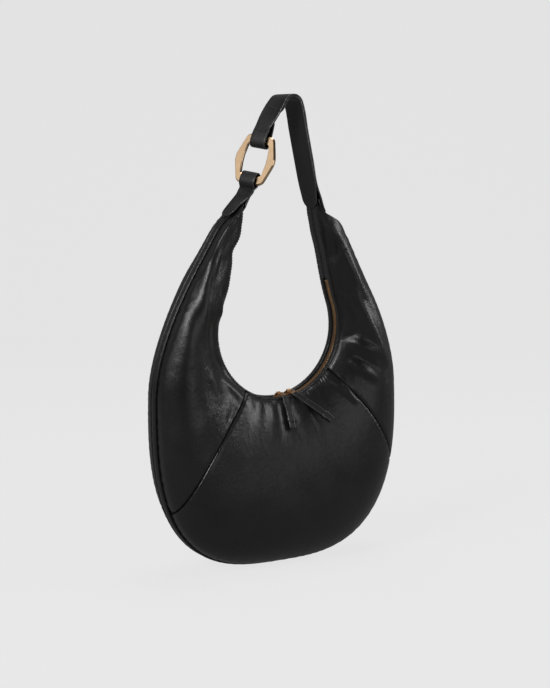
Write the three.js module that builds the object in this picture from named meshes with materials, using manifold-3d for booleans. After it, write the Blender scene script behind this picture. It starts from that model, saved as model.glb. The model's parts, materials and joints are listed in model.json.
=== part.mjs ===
// A crescent hobo bag in soft leather: two puffed faces of three panels each, a narrow outer gusset
// with piping, a curved zip with two sliders round the inner edge, and a short strap that joins the
// two horns through a metal link.
//
// Millimetres, +Z up, X across the bag, the front faces -Y. The origin is the middle of the base, on
// the surface that the bag stands on.

import * as THREE from 'three';
import { mergeVertices } from 'three/addons/utils/BufferGeometryUtils.js';
import Module from 'manifold-3d';

const wasm = await Module();
wasm.setup();

const { degToRad, lerp, smoothstep, clamp } = THREE.MathUtils;
const bag = new THREE.Group();

// ---------------------------------------------------------------- driving dimensions

const GAP = 0.4; // between neighbouring pieces
const LEATHER = 1.6; // panel thickness

// Body outline. The lower half is a superellipse, and each horn rises from its widest point.
const HALF_WIDTH = 146.5;
const WAIST_Z = 187; // height of the widest point
const BASE_POWER = 2.9;
const TIP = { left: new THREE.Vector2(-48, 392), right: new THREE.Vector2(46, 396) };
const TIP_LEAN = degToRad(24); // of a horn's end, from vertical
const TIP_THICKNESS = 11;
const SHOULDER_Z = 254; // height of the handle that rounds the outer edge
const TIP_REACH = { outer: 71, inner: 35 }; // of each curve's handle at the tip
const OUTER_TIP_LEAN = degToRad(37);
const NECK_REACH = 35; // of the handle where the neck leaves the zip's arc

// Depth of the body, as half widths across Y.
const BELLY_HALF = 50.5;
const TIP_HALF = 14.5;
const DEPTH_POWER = 1.35; // how late the horns thin out
const PUFF_POWER = 0.58; // 0.5 is an elliptical section, 1 is a lens
const SAG_POWER = 1.4; // above 1 the section is fullest below its middle

// Edge strips, as half widths across Y.
const GUSSET_HALF = 3.4;
const PIPING_RADIUS = 1.3;
const PIPING_GAP = 0.35; // on both sides of each piping
const PIPING_PROUD = 0.7; // of the gusset, all round the outer edge
const PANEL_OUTER_Y = GUSSET_HALF + 2 * PIPING_RADIUS + 2 * PIPING_GAP;
const FACING_HALF = 11.2;
const PANEL_GAP = 1.8; // from the facing, whose edge the steep panel would touch if closer
const PANEL_INNER_Y = FACING_HALF + PANEL_GAP;
const SLOT_HALF = 5; // the facing's edge beside the zip

// Where the panel seams meet the inner and the outer edge, as shares of the way from the middle.
const SEAMS = {
  left: { inner: 0.172, outer: 0.314 },
  right: { inner: 0.262, outer: 0.362 },
};
const SEAM_BOW = 2.4; // above 1 the seams bow towards the horns
const SEAM_GAP = 0.0012; // beside a seam, as a share too

// Zip, a circular arc seen from the front.
const ZIP_CENTRE = new THREE.Vector3(0, 0, 257);
const ZIP_RADIUS = 75; // of the facings' outer surface
const ARC_HALF_ANGLE = degToRad(110); // above this the zip straightens up each neck
const ZIP_TOP_Z = 306;
const CHAIN_RADIUS = ZIP_RADIUS + 2.25; // mid-plane of tape and teeth
const TAPE = 0.7;
const TEETH_HALF_HEIGHT = 1.3;
const TEETH_INNER_Y = 0.7; // the slider's post passes between the two rows
const TEETH_OUTER_Y = 3.0;
const SLIDER_LENGTH = 11;
const SLIDER_HALF_WIDTH = 4.6;
const SLIDER_ANGLES = { left: degToRad(3.5), right: degToRad(13.5) }; // from the lowest point

// Pulls, seen from the slider: out along Y, and then down over the front.
const PIVOT_RADIUS = 71.6; // of the slider's bridge bar, from the zip's axis
const BRIDGE_HALF = 0.7;
const PULLER_LENGTH = 11.7;
const PULLER_THICKNESS = 1.5;
const PULLER_HALF_WIDTH = 3.2;
const TAB_LENGTH = 43;
const TAB_START = 4.8; // from the puller's end, so that the turned strip clears it
const TAB_HALF_WIDTH = 4.2;
const TAB_THICKNESS = 2;
const TAB_DROP = { left: degToRad(38), right: degToRad(26) }; // below level
const TAB_TURN = { left: degToRad(-4), right: degToRad(48) }; // towards +X
const TAB_ROLL = { left: 0, right: degToRad(-26) }; // so that the strip lies along the leather

// Handle.
const STRAP_HALF_WIDTH = 18;
const STRAP_OUTER = 1.8; // leather layers
const STRAP_LINING = 1.4;
const LAYER_GAP = 0.8;
const STRAP_START = 15; // of its stiff part, from the right horn's tip
const STRAP_TOP = new THREE.Vector3(13, 0, 495); // centre of the bend at the top
const STRAP_TOP_RADIUS = 10;
const LOOP_HALF_WIDTH = 9.5; // of both loops on the link
const LOOP_FOOT_SHARE = 0.42; // how far the loop tab's stiff part reaches towards the left tip
const LOOP_REACH = { upper: 14, lower: 9 }; // beyond the middle of the link's end bars
const LINK_PLAY = 1.9; // beside the upper bar, so that the link can rock on its lower bar
const LOOP_THICKNESS = 1.8;
const LINK_CENTRE = new THREE.Vector3(-24, 0, 438);
const LINK_TILT = degToRad(18);
const LINK_TWIST = degToRad(28);
const LINK_HALF_LENGTH = 27;
const LINK_HALF_WIDTH = 24.5;
const LINK_BAR_SHARE = 0.66; // of the half width, taken by the straight bar at each end
const LINK_SIDE_SHARE = 0.14; // of the half length, taken by the straight part of each side
const LINK_BAND = 10;
const LINK_BEVEL = 0.8;
const LINK_THICKNESS = 4.4;
const LINK_CORNER = 0.24; // share of each side over which a corner is rounded

const leather = { color: 0x131313, roughness: 0.35, metalness: 0 };
const fabric = { color: 0x2a2622, roughness: 0.9, metalness: 0 };
const gold = { color: 0xd9a866, roughness: 0.18, metalness: 1 };
const copper = { color: 0xb87a45, roughness: 0.3, metalness: 1 };

// ---------------------------------------------------------------- mesh building

// Adds a closed geometry to the bag as a named mesh.
function piece(name, geometry, finish) {
  geometry.computeVertexNormals();
  const mesh = new THREE.Mesh(geometry, new THREE.MeshStandardMaterial(finish));
  mesh.name = name;
  bag.add(mesh);
  return mesh;
}

// A geometry from points and triangles, turned so that its volume is positive.
function solid(points, triangles) {
  let volume = 0;
  for (const [a, b, c] of triangles) {
    volume += points[a].dot(new THREE.Vector3().crossVectors(points[b], points[c]));
  }
  const faces = volume < 0 ? triangles.map(([a, b, c]) => [a, c, b]) : triangles;
  const geometry = new THREE.BufferGeometry().setFromPoints(points);
  geometry.setIndex(faces.flat());
  return geometry;
}

// Joins closed section loops, each with the same number of points. Open lofts get flat end caps.
function loft(loops, closed = false) {
  const size = loops[0].length;
  const triangles = [];
  const last = closed ? loops.length : loops.length - 1;
  for (let i = 0; i < last; i++) {
    const next = (i + 1) % loops.length;
    for (let j = 0; j < size; j++) {
      const k = (j + 1) % size;
      const [a, b, c, d] = [i * size + j, i * size + k, next * size + k, next * size + j];
      triangles.push([a, b, c], [a, c, d]);
    }
  }
  if (!closed) {
    const end = (loops.length - 1) * size;
    for (let j = 1; j < size - 1; j++) {
      triangles.push([0, j + 1, j], [end, end + j, end + j + 1]);
    }
  }
  return solid(loops.flat(), triangles);
}

// A sheet between two depths below a surface, which is a function of two parameters from 0 to 1.
function shell(surface, columns, rows, nearDepth, farDepth) {
  const step = 1e-3;
  const below = (a, b, depth) => {
    const [a0, a1] = [Math.max(a - step, 0), Math.min(a + step, 1)];
    const [b0, b1] = [Math.max(b - step, 0), Math.min(b + step, 1)];
    const alongA = surface(a1, b).sub(surface(a0, b));
    const alongB = surface(a, b1).sub(surface(a, b0));
    return surface(a, b).addScaledVector(alongA.cross(alongB).normalize(), depth);
  };
  const points = [];
  for (const depth of [nearDepth, farDepth]) {
    for (const a of columns) {
      for (const b of rows) points.push(below(a, b, depth));
    }
  }
  const [wide, tall] = [columns.length, rows.length];
  const at = (layer, i, j) => (layer * wide + i) * tall + j;
  const triangles = [];
  const quad = (a, b, c, d) => triangles.push([a, b, c], [a, c, d]);
  for (let i = 0; i < wide - 1; i++) {
    for (let j = 0; j < tall - 1; j++) {
      quad(at(0, i, j), at(0, i + 1, j), at(0, i + 1, j + 1), at(0, i, j + 1));
      quad(at(1, i, j), at(1, i, j + 1), at(1, i + 1, j + 1), at(1, i + 1, j));
    }
    quad(at(0, i + 1, 0), at(0, i, 0), at(1, i, 0), at(1, i + 1, 0));
    quad(at(0, i, tall - 1), at(0, i + 1, tall - 1), at(1, i + 1, tall - 1), at(1, i, tall - 1));
  }
  for (let j = 0; j < tall - 1; j++) {
    quad(at(0, 0, j), at(0, 0, j + 1), at(1, 0, j + 1), at(1, 0, j));
    quad(at(0, wide - 1, j + 1), at(0, wide - 1, j), at(1, wide - 1, j), at(1, wide - 1, j + 1));
  }
  return solid(points, triangles);
}

const even = (count, from = 0, to = 1) =>
  Array.from({ length: count + 1 }, (_, i) => lerp(from, to, i / count));
const bunched = (count) => even(count).map((s) => (1 - Math.cos(Math.PI * s)) / 2);

// manifold-3d's solid of a geometry, for joining and cutting.
function manifoldOf(geometry) {
  const bare = geometry.clone();
  bare.deleteAttribute('normal');
  bare.deleteAttribute('uv');
  const merged = mergeVertices(bare, 1e-4);
  return new wasm.Manifold(new wasm.Mesh({
    numProp: 3,
    vertProperties: new Float32Array(merged.attributes.position.array),
    triVerts: new Uint32Array(merged.index.array),
  }));
}

function geometryOf(manifold) {
  const mesh = manifold.getMesh();
  const geometry = new THREE.BufferGeometry();
  geometry.setAttribute('position', new THREE.BufferAttribute(mesh.vertProperties, 3));
  geometry.setIndex(new THREE.BufferAttribute(mesh.triVerts, 1));
  return geometry;
}

// ---------------------------------------------------------------- body outline

// A curve in the XZ plane that is read by the share of its length.
function lengthCurve(points) {
  const lengths = [0];
  for (let i = 1; i < points.length; i++) {
    lengths.push(lengths[i - 1] + points[i].distanceTo(points[i - 1]));
  }
  const total = lengths[lengths.length - 1];
  return (share) => {
    const want = clamp(share, 0, 1) * total;
    let i = 1;
    while (i < lengths.length - 1 && lengths[i] < want) i++;
    const within = (want - lengths[i - 1]) / (lengths[i] - lengths[i - 1]);
    return points[i - 1].clone().lerp(points[i], within);
  };
}

// The two edges of one horn, from the middle of the base or the zip up to the horn's tip.
function hornEdges(sign, tip) {
  const across = new THREE.Vector2(sign * Math.cos(TIP_LEAN), Math.sin(TIP_LEAN));
  const up = new THREE.Vector2(-sign * Math.sin(TIP_LEAN), Math.cos(TIP_LEAN));
  const outerTip = tip.clone().addScaledVector(across, TIP_THICKNESS / 2);
  const innerTip = tip.clone().addScaledVector(across, -TIP_THICKNESS / 2);

  const base = even(60, 0, Math.PI / 2).map((a) => new THREE.Vector2(
    sign * HALF_WIDTH * Math.sin(a) ** (2 / BASE_POWER),
    lerp(WAIST_Z, PIPING_PROUD, Math.max(Math.cos(a), 0) ** (2 / BASE_POWER)),
  ));
  const outerEnd = new THREE.Vector2(-sign * Math.sin(OUTER_TIP_LEAN), Math.cos(OUTER_TIP_LEAN));
  const shoulder = new THREE.CubicBezierCurve(
    base[base.length - 1].clone(),
    new THREE.Vector2(sign * HALF_WIDTH, SHOULDER_Z),
    outerTip.clone().addScaledVector(outerEnd, -TIP_REACH.outer),
    outerTip,
  );

  const arc = even(60, 0, ARC_HALF_ANGLE).map((a) => zipPoint(sign * a));
  const arcEnd = arc[arc.length - 1];
  const leave = new THREE.Vector2(sign * Math.cos(ARC_HALF_ANGLE), Math.sin(ARC_HALF_ANGLE));
  const neck = new THREE.CubicBezierCurve(
    arcEnd.clone(),
    arcEnd.clone().addScaledVector(leave, NECK_REACH),
    innerTip.clone().addScaledVector(up, -TIP_REACH.inner),
    innerTip,
  );
  return {
    outer: lengthCurve([...base, ...shoulder.getPoints(60).slice(1)]),
    inner: lengthCurve([...arc, ...neck.getPoints(40).slice(1)]),
  };
}

// A point on the zip's arc in the XZ plane, by its angle from the lowest point.
function zipPoint(angle, radius = ZIP_RADIUS) {
  return new THREE.Vector2(radius * Math.sin(angle), ZIP_CENTRE.z - radius * Math.cos(angle));
}

const horns = { left: hornEdges(-1, TIP.left), right: hornEdges(1, TIP.right) };
const edgesAt = (t) => (t < 0 ? horns.left : horns.right);
const innerEdge = (t) => edgesAt(t).inner(Math.abs(t));
const outerEdge = (t) => edgesAt(t).outer(Math.abs(t));

// Share of a horn's inner edge that the zip takes.
function zipShare(sign) {
  let [low, high] = [0, 1];
  for (let i = 0; i < 40; i++) {
    const middle = (low + high) / 2;
    if (innerEdge(sign * middle).y < ZIP_TOP_Z) low = middle;
    else high = middle;
  }
  return low;
}
const ZIP_SHARE = { left: zipShare(-1), right: zipShare(1) };

// Half depth of the body, t from -1 at the left tip to 1 at the right, v from the zip to the gusset.
function halfDepth(t, v) {
  const fullest = lerp(BELLY_HALF, TIP_HALF, Math.abs(t) ** DEPTH_POWER);
  const edge = lerp(PANEL_INNER_Y, PANEL_OUTER_Y, v);
  const sagged = v ** SAG_POWER;
  const puff = Math.max(4 * sagged * (1 - sagged), 0) ** PUFF_POWER;
  return edge + (fullest - edge) * puff;
}

// A point of a face, with side -1 at the front and 1 at the back.
function facePoint(side, t, v) {
  const flat = innerEdge(t).lerp(outerEdge(t), v);
  return new THREE.Vector3(flat.x, side * halfDepth(t, v), flat.y);
}

// ---------------------------------------------------------------- leather panels

// A seam's place along the bag, from the inner edge at v = 0 to the outer edge.
const seamShare = (end, v) =>
  lerp(SEAMS[end].inner, SEAMS[end].outer, 1 - (1 - v) ** SEAM_BOW);

function panel(name, side, from, to, columns) {
  const surface = (a, v) => facePoint(side, lerp(from(v), to(v), a), v);
  // The normal of a x v points into the bag on the front and out of it on the back.
  piece(name, shell(surface, even(columns), bunched(10), 0, -side * LEATHER), leather);
}

for (const [face, side] of [['front', -1], ['back', 1]]) {
  panel(`${face}_left_panel`, side, () => -1, (v) => -seamShare('left', v) - SEAM_GAP, 16);
  panel(`${face}_centre_panel`, side,
    (v) => -seamShare('left', v), (v) => seamShare('right', v), 14);
  panel(`${face}_right_panel`, side, (v) => seamShare('right', v) + SEAM_GAP, () => 1, 16);
}

// ---------------------------------------------------------------- edge strips

// A flat-sectioned strip along an edge of the body, between two half widths and two depths.
function edgeStrip(edge, inward, shares, yNear, yFar, nearDepth, farDepth) {
  return loft(shares.map((t) => {
    const step = 1e-3;
    const along = edge(Math.min(t + step, 1)).sub(edge(Math.max(t - step, -1))).normalize();
    const into = new THREE.Vector2(-along.y, along.x).multiplyScalar(inward);
    const at = (y, depth) => {
      const flat = edge(t).addScaledVector(into, depth);
      return new THREE.Vector3(flat.x, y, flat.y);
    };
    const [y0, y1] = [yNear(t), yFar(t)];
    return [at(y0, nearDepth), at(y1, nearDepth), at(y1, farDepth), at(y0, farDepth)];
  }));
}

const wholeLength = even(57, -1, 1); // an odd count leaves a level facet in the middle of the base
piece('gusset', edgeStrip(outerEdge, 1, wholeLength,
  () => -GUSSET_HALF, () => GUSSET_HALF, 0, LEATHER), leather);

function piping(name, side) {
  const centreY = side * (GUSSET_HALF + PIPING_GAP + PIPING_RADIUS);
  const corners = even(6, 0, 2 * Math.PI).slice(0, -1);
  piece(name, loft(wholeLength.map((t) => {
    const step = 1e-3;
    const along = outerEdge(Math.min(t + step, 1)).sub(outerEdge(Math.max(t - step, -1))).normalize();
    const into = new THREE.Vector2(-along.y, along.x);
    return corners.map((a) => {
      const depth = PIPING_RADIUS * (1 - Math.cos(a)) - PIPING_PROUD;
      const flat = outerEdge(t).addScaledVector(into, depth);
      return new THREE.Vector3(flat.x, centreY + PIPING_RADIUS * Math.sin(a), flat.y);
    });
  })), leather);
}
piping('front_piping', -1);
piping('back_piping', 1);

// The facings part round the zip and meet in a seam above each end of it.
function facing(name, side) {
  const closing = 0.015; // share of a horn's length over which the slot closes
  const { left, right } = ZIP_SHARE;
  const slot = (t) => {
    const end = t < 0 ? left : right;
    const open = 1 - smoothstep(Math.abs(t), end, end + closing);
    return side * lerp(GAP / 2, SLOT_HALF, open);
  };
  const shares = [
    ...even(8, -1, -left - 1.3 * closing),
    ...even(3, -left - closing, -left),
    ...even(44, closing - left, right - closing),
    ...even(3, right, right + closing),
    ...even(8, right + 1.3 * closing, 1),
  ];
  piece(name, edgeStrip(innerEdge, -1, shares, slot, () => side * FACING_HALF, 0, LEATHER), leather);
}
facing('front_facing', -1);
facing('back_facing', 1);

// ---------------------------------------------------------------- zip

// A block that is part of a ring round the zip's axis.
function arcBlock(from, to, y0, y1, radius0, radius1, count) {
  return loft(even(count, from, to).map((angle) => {
    const [near, far] = [zipPoint(angle, radius0), zipPoint(angle, radius1)];
    return [[near, y0], [near, y1], [far, y1], [far, y0]]
      .map(([flat, y]) => new THREE.Vector3(flat.x, y, flat.y));
  }));
}

const chainDepth = CHAIN_RADIUS - ZIP_RADIUS;
const STOP_SHARE = 0.008; // of a horn's length, taken by each end stop
const TEETH_GAP_SHARE = 0.001;

// One side of the zip's flat length, between two half widths and about the chain's mid-plane.
function chainStrip(name, from, to, y0, y1, halfHeight, finish, count = 60) {
  piece(name, edgeStrip(innerEdge, -1, even(count, from, to), () => y0, () => y1,
    chainDepth - halfHeight, chainDepth + halfHeight), finish);
}
for (const [face, side] of [['front', -1], ['back', 1]]) {
  chainStrip(`zip_tape_${face}`, -ZIP_SHARE.left, ZIP_SHARE.right,
    side * (TEETH_OUTER_Y + 0.3), side * FACING_HALF, TAPE / 2, fabric);
  chainStrip(`zip_teeth_${face}`, STOP_SHARE - ZIP_SHARE.left, ZIP_SHARE.right - STOP_SHARE,
    side * TEETH_INNER_Y, side * TEETH_OUTER_Y, TEETH_HALF_HEIGHT, copper);
}
for (const [end, sign] of [['left', -1], ['right', 1]]) {
  chainStrip(`zip_stop_${end}`, sign * (ZIP_SHARE[end] - STOP_SHARE + TEETH_GAP_SHARE),
    sign * ZIP_SHARE[end], -TEETH_OUTER_Y, TEETH_OUTER_Y, TEETH_HALF_HEIGHT, copper, 2);
}

// A slider: two plates on either side of the teeth, a post between them, and a bridge on top.
function slider(name, centre) {
  const half = SLIDER_LENGTH / 2 / CHAIN_RADIUS;
  const [from, to] = [centre - half, centre + half];
  const plate = 1.2;
  const clearance = TEETH_HALF_HEIGHT + 0.3;
  const [top, bottom] = [CHAIN_RADIUS - clearance, CHAIN_RADIUS + clearance];
  const sunk = 0.2; // how far the post and the bridge's legs reach into the plates
  const post = TEETH_INNER_Y - 0.35;
  const bridgeTop = PIVOT_RADIUS - BRIDGE_HALF;
  const leg = 0.4 * half;
  const bridge = half - 0.01;
  const bar = (y, inner, outer, a, b) => manifoldOf(arcBlock(a, b, -y, y, inner, outer, 4));
  const body = [
    bar(SLIDER_HALF_WIDTH, bottom, bottom + plate, from, to),
    bar(post, top - sunk, bottom + sunk, from + half / 2, to - half / 2),
    bar(BRIDGE_HALF, bridgeTop, top - sunk, centre - bridge, centre - bridge + leg),
    bar(BRIDGE_HALF, bridgeTop, top - sunk, centre + bridge - leg, centre + bridge),
    bar(BRIDGE_HALF, bridgeTop, bridgeTop + 2 * BRIDGE_HALF, centre - bridge, centre + bridge),
  ].reduce((sum, block) => sum.add(block), bar(SLIDER_HALF_WIDTH, top - plate, top, from, to));
  piece(name, geometryOf(body), copper);
}

// The frame of a pull: its origin on the bridge bar, X along the zip and Z away from the bag.
function pullFrame(angle) {
  const origin = zipPoint(angle, PIVOT_RADIUS);
  return new THREE.Matrix4().makeRotationY(-angle).setPosition(origin.x, 0, origin.y);
}

// A flat metal link with an eye round the bridge bar and a slot for the leather tab.
function puller(name, angle) {
  const [eyeOuter, eyeInner, eyeLength] = [BRIDGE_HALF + 1.5, BRIDGE_HALF + 0.55, 3.4];
  const eye = new THREE.Shape().absarc(0, 0, eyeOuter, 0, 2 * Math.PI);
  eye.holes.push(new THREE.Path().absarc(0, 0, eyeInner, 0, 2 * Math.PI, true));
  const ring = new THREE.ExtrudeGeometry(eye, {
    depth: eyeLength, bevelEnabled: false, curveSegments: 8,
  });
  ring.translate(0, 0, -eyeLength / 2).rotateY(Math.PI / 2);
  const clear = BRIDGE_HALF + 1; // where the flat part starts, inside the eye's wall
  const frameShape = roundedBox(PULLER_HALF_WIDTH, PULLER_LENGTH - clear, 1.4);
  frameShape.holes.push(roundedBox(PULLER_HALF_WIDTH - 1.3, 3, 0.6));
  const link = new THREE.ExtrudeGeometry(frameShape, {
    depth: PULLER_THICKNESS, bevelEnabled: false, curveSegments: 3,
  });
  link.translate(0, -(PULLER_LENGTH + clear) / 2, -PULLER_THICKNESS / 2);
  const whole = manifoldOf(ring).add(manifoldOf(link));
  piece(name, geometryOf(whole).applyMatrix4(pullFrame(angle)), copper);
}

// A rounded rectangle of a given half width and full height, centred on the origin.
function roundedBox(half, height, radius) {
  const tall = height / 2;
  const shape = new THREE.Shape();
  shape.absarc(half - radius, tall - radius, radius, 0, Math.PI / 2);
  shape.absarc(radius - half, tall - radius, radius, Math.PI / 2, Math.PI);
  shape.absarc(radius - half, radius - tall, radius, Math.PI, 1.5 * Math.PI);
  shape.absarc(half - radius, radius - tall, radius, 1.5 * Math.PI, 2 * Math.PI);
  shape.closePath();
  return shape;
}

// A leather strip from the end of the puller, down over the front of the bag.
function pullTab(name, angle, drop, turn, roll) {
  const strip = new THREE.ExtrudeGeometry(roundedBox(TAB_HALF_WIDTH, TAB_LENGTH, 1.2), {
    depth: TAB_THICKNESS, bevelEnabled: false, curveSegments: 3,
  });
  strip.translate(0, -TAB_LENGTH / 2 - TAB_START, -TAB_THICKNESS / 2);
  const lie = new THREE.Matrix4().makeRotationZ(turn)
    .multiply(new THREE.Matrix4().makeRotationX(drop))
    .multiply(new THREE.Matrix4().makeRotationY(roll))
    .setPosition(0, -PULLER_LENGTH, 0);
  piece(name, strip.applyMatrix4(lie).applyMatrix4(pullFrame(angle)), leather);
}

for (const end of ['left', 'right']) {
  slider(`zip_slider_${end}`, SLIDER_ANGLES[end]);
  puller(`zip_puller_${end}`, SLIDER_ANGLES[end]);
  pullTab(`pull_tab_${end}`, SLIDER_ANGLES[end], TAB_DROP[end], TAB_TURN[end], TAB_ROLL[end]);
}

// ---------------------------------------------------------------- handle

// A strip along stations, each with a place, a unit vector across it and a half width.
function band(name, stations, near, far) {
  const last = stations.length - 1;
  piece(name, loft(stations.map(({ at, across, half }, i) => {
    const before = stations[Math.max(i - 1, 0)].at;
    const after = stations[Math.min(i + 1, last)].at;
    const normal = after.clone().sub(before).cross(across).normalize();
    const corner = (side, depth) => at.clone()
      .addScaledVector(across, side * half)
      .addScaledVector(normal, depth);
    return [corner(-1, near), corner(1, near), corner(1, far), corner(-1, far)];
  })), leather);
}

// The link's own frame: X through its opening, Y across it and Z along it.
const linkFrame = new THREE.Matrix4().makeRotationY(LINK_TILT)
  .multiply(new THREE.Matrix4().makeRotationZ(LINK_TWIST))
  .setPosition(LINK_CENTRE);
const linkAcross = new THREE.Vector3(0, 1, 0).transformDirection(linkFrame);
const inLink = (x, z) => new THREE.Vector3(x, 0, z).applyMatrix4(linkFrame);
const BAR_Z = LINK_HALF_LENGTH - LINK_BAND / 2;

// An elongated hexagon with rounded corners, with a hole of the same shape.
function chainLink(name) {
  const outline = (inset) => {
    const [wide, tall] = [LINK_HALF_WIDTH - inset, LINK_HALF_LENGTH - inset];
    const bar = LINK_HALF_WIDTH * LINK_BAR_SHARE - inset * 0.35; // so that the band stays even
    const shoulder = LINK_HALF_LENGTH * LINK_SIDE_SHARE;
    return [[bar, tall], [wide, shoulder], [wide, -shoulder], [bar, -tall],
      [-bar, -tall], [-wide, -shoulder], [-wide, shoulder], [-bar, tall]]
      .map(([x, y]) => new THREE.Vector2(x, y));
  };
  const shape = rounded(new THREE.Shape(), outline(LINK_BEVEL), LINK_CORNER);
  shape.holes.push(rounded(new THREE.Path(), outline(LINK_BAND - LINK_BEVEL).reverse(), LINK_CORNER));
  const geometry = new THREE.ExtrudeGeometry(shape, {
    depth: LINK_THICKNESS - 2 * LINK_BEVEL,
    bevelThickness: LINK_BEVEL,
    bevelSize: LINK_BEVEL,
    bevelSegments: 1,
    curveSegments: 4,
  });
  geometry.translate(0, 0, LINK_BEVEL - LINK_THICKNESS / 2);
  geometry.applyMatrix4(new THREE.Matrix4().makeBasis(
    new THREE.Vector3(0, 1, 0), new THREE.Vector3(0, 0, 1), new THREE.Vector3(1, 0, 0)));
  piece(name, geometry.applyMatrix4(linkFrame), gold);
}

// Draws a closed outline whose corners are rounded over a share of each side.
function rounded(path, corners, share) {
  const count = corners.length;
  corners.forEach((corner, i) => {
    const before = corners[(i + count - 1) % count];
    const after = corners[(i + 1) % count];
    const start = corner.clone().lerp(before, share);
    const end = corner.clone().lerp(after, share);
    if (i === 0) path.moveTo(start.x, start.y);
    else path.lineTo(start.x, start.y);
    path.quadraticCurveTo(corner.x, corner.y, end.x, end.y);
  });
  path.closePath();
  return path;
}
chainLink('chain_link');

// The inner surface of a loop round one of the link's end bars, from the outside to the inside.
// The side is 1 for the upper bar, and the two leaves meet beyond it.
function loopRoundBar(side, reach, returned, slack) {
  const clear = LINK_THICKNESS / 2 + slack;
  const middle = side * BAR_Z;
  const end = LINK_BAND / 2 + GAP;
  const turn = even(4, 0, Math.PI).map((a) => inLink(
    -clear * Math.cos(a), middle - side * (end + clear * 0.6 * Math.sin(a))));
  return [
    inLink(-1.1, middle + side * reach),
    inLink(-clear, middle + side * (end + GAP)),
    ...turn,
    inLink(clear, middle + side * (end + GAP)),
    inLink(1.3, middle + side * returned),
  ];
}

// Where the tangent from a point meets the circle of the strap's top bend.
function tangentAngle(from, side) {
  const [dx, dz] = [from.x - STRAP_TOP.x, from.z - STRAP_TOP.z];
  return Math.atan2(dz, dx) + side * Math.acos(STRAP_TOP_RADIUS / Math.hypot(dx, dz));
}

function strap() {
  const tip = new THREE.Vector3(TIP.right.x, 0, TIP.right.y);
  const loop = loopRoundBar(1, LOOP_REACH.upper, LOOP_REACH.upper - 2, LINK_PLAY);
  const leg = new THREE.Vector3().subVectors(STRAP_TOP, tip).normalize();
  const start = tip.clone().addScaledVector(leg, STRAP_START);
  const from = tangentAngle(start, 1);
  const to = tangentAngle(loop[0], -1) + 2 * Math.PI;
  const bend = [from, ...[35, 58, 80, 100, 122].map(degToRad), to] // level at the very top
    .map((a) => new THREE.Vector3(Math.cos(a), 0, Math.sin(a))
      .multiplyScalar(STRAP_TOP_RADIUS).add(STRAP_TOP));
  const alongY = new THREE.Vector3(0, 1, 0);
  const upper = [start, start.clone().lerp(bend[0], 0.5), ...bend]
    .map((at) => ({ at, across: alongY, half: STRAP_HALF_WIDTH }));
  const left = even(18).slice(1, -1).map((share) => ({
    at: bend[bend.length - 1].clone().lerp(loop[0], share),
    across: alongY.clone().lerp(linkAcross, share).normalize(),
    half: lerp(STRAP_HALF_WIDTH, LOOP_HALF_WIDTH, share),
  }));
  const round = loop.map((at) => ({ at, across: linkAcross, half: LOOP_HALF_WIDTH }));
  band('strap_outer', [...upper, ...left, ...round], -STRAP_OUTER, 0);
  band('strap_lining', [...upper, ...left.slice(0, 10)], LAYER_GAP, LAYER_GAP + STRAP_LINING);
}
strap();

function loopTab() {
  const tip = new THREE.Vector3(TIP.left.x, 0, TIP.left.y);
  const loop = loopRoundBar(-1, LOOP_REACH.lower, LOOP_REACH.lower, GAP);
  const foot = loop[0].clone().lerp(tip, LOOP_FOOT_SHARE);
  band('left_loop_tab', [foot, ...loop]
    .map((at) => ({ at, across: linkAcross, half: LOOP_HALF_WIDTH })), 0, LOOP_THICKNESS);
}
loopTab();

// ---------------------------------------------------------------- lining

// Thin fabric inside the leather, short of the tips, with a strip along the outer edge.
const LINING = 0.5;
const LINING_REACH = 0.86; // share of each horn
const LINING_MARGIN = 0.07; // clear of both edges, as a share of the way across
const LINING_DEPTH = LEATHER + 2.4;

for (const [face, side] of [['front', -1], ['back', 1]]) {
  const surface = (a, b) => facePoint(side,
    lerp(-LINING_REACH, LINING_REACH, a), lerp(LINING_MARGIN, 1 - LINING_MARGIN, b));
  piece(`lining_${face}`, shell(surface, even(30), bunched(8),
    -side * LINING_DEPTH, -side * (LINING_DEPTH + LINING)), fabric);
}
piece('lining_gusset', edgeStrip(outerEdge, 1, even(45, -LINING_REACH, LINING_REACH),
  () => -PANEL_OUTER_Y, () => PANEL_OUTER_Y, LINING_DEPTH, LINING_DEPTH + LINING), fabric);

export default bag;
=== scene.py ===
"""A crescent hobo bag in polished black leather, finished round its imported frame.

Metres, in the frame's own axes: X across the bag, the front faces -Y, +Z up. A place on a face of
the bag is given by t, from -1 at the left horn's tip to 1 at the right, and v, from 0 at the zip's
edge to 1 at the outer edge.
"""

import json
import math

import bpy
import numpy as np
from mathutils import Matrix, Vector


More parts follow.
